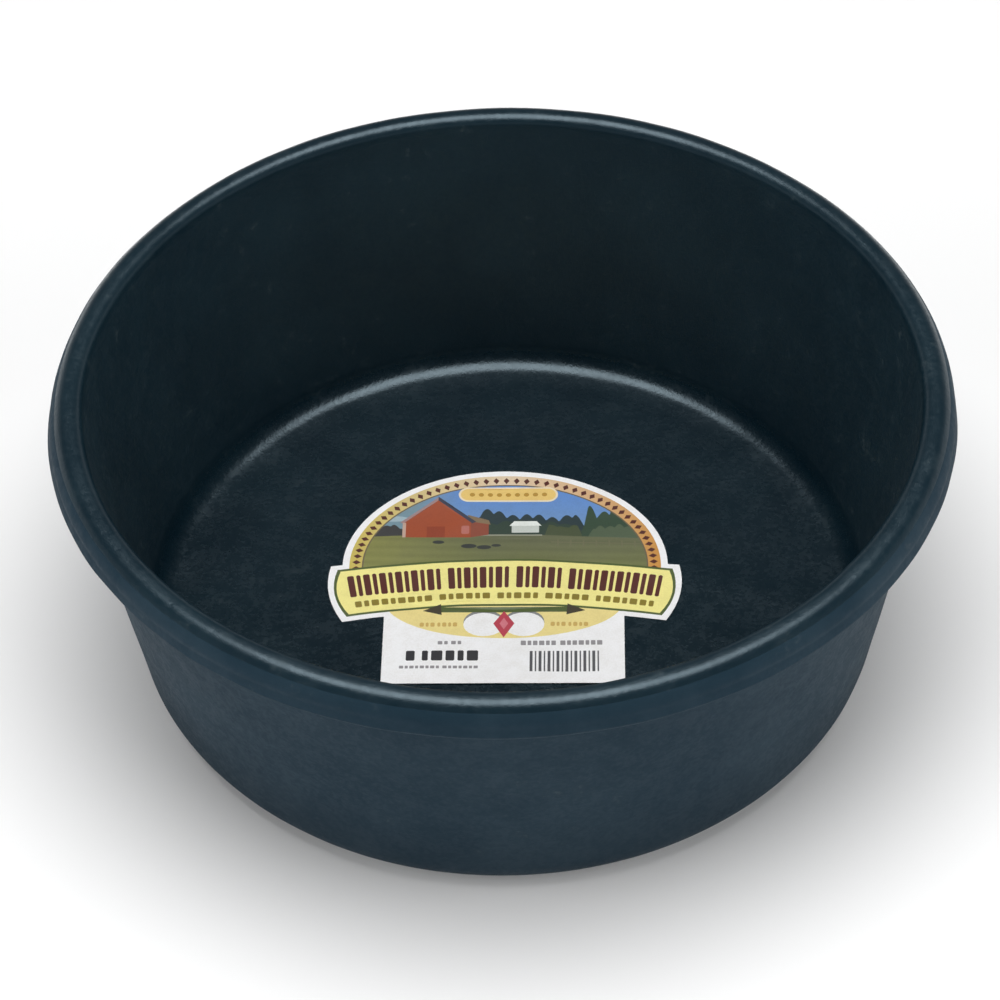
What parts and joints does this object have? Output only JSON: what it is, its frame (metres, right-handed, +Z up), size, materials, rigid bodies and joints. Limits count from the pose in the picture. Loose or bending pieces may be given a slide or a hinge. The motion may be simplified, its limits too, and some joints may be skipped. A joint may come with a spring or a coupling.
{
  "type": "rubber feed pan",
  "caption": "Low round feed tub in moulded black rubber, with steep tapered walls, a thick rolled rim, a flat floor and a die-cut paper label inside.",
  "frame": {"origin": "centre of the flat underside that the pan rests on", "axes": "+Z up through the open mouth, along the pan's axis; -Y is the side that the label is read from; +X is to the right of a reader"},
  "size_m": [0.276, 0.276, 0.1024],
  "materials": {
    "black_rubber": "satin",
    "label_paper": "satin"
  },
  "bodies": {
    "root": {"rubber_pan": "black_rubber", "floor_label": "label_paper"}
  },
  "joints": []
}
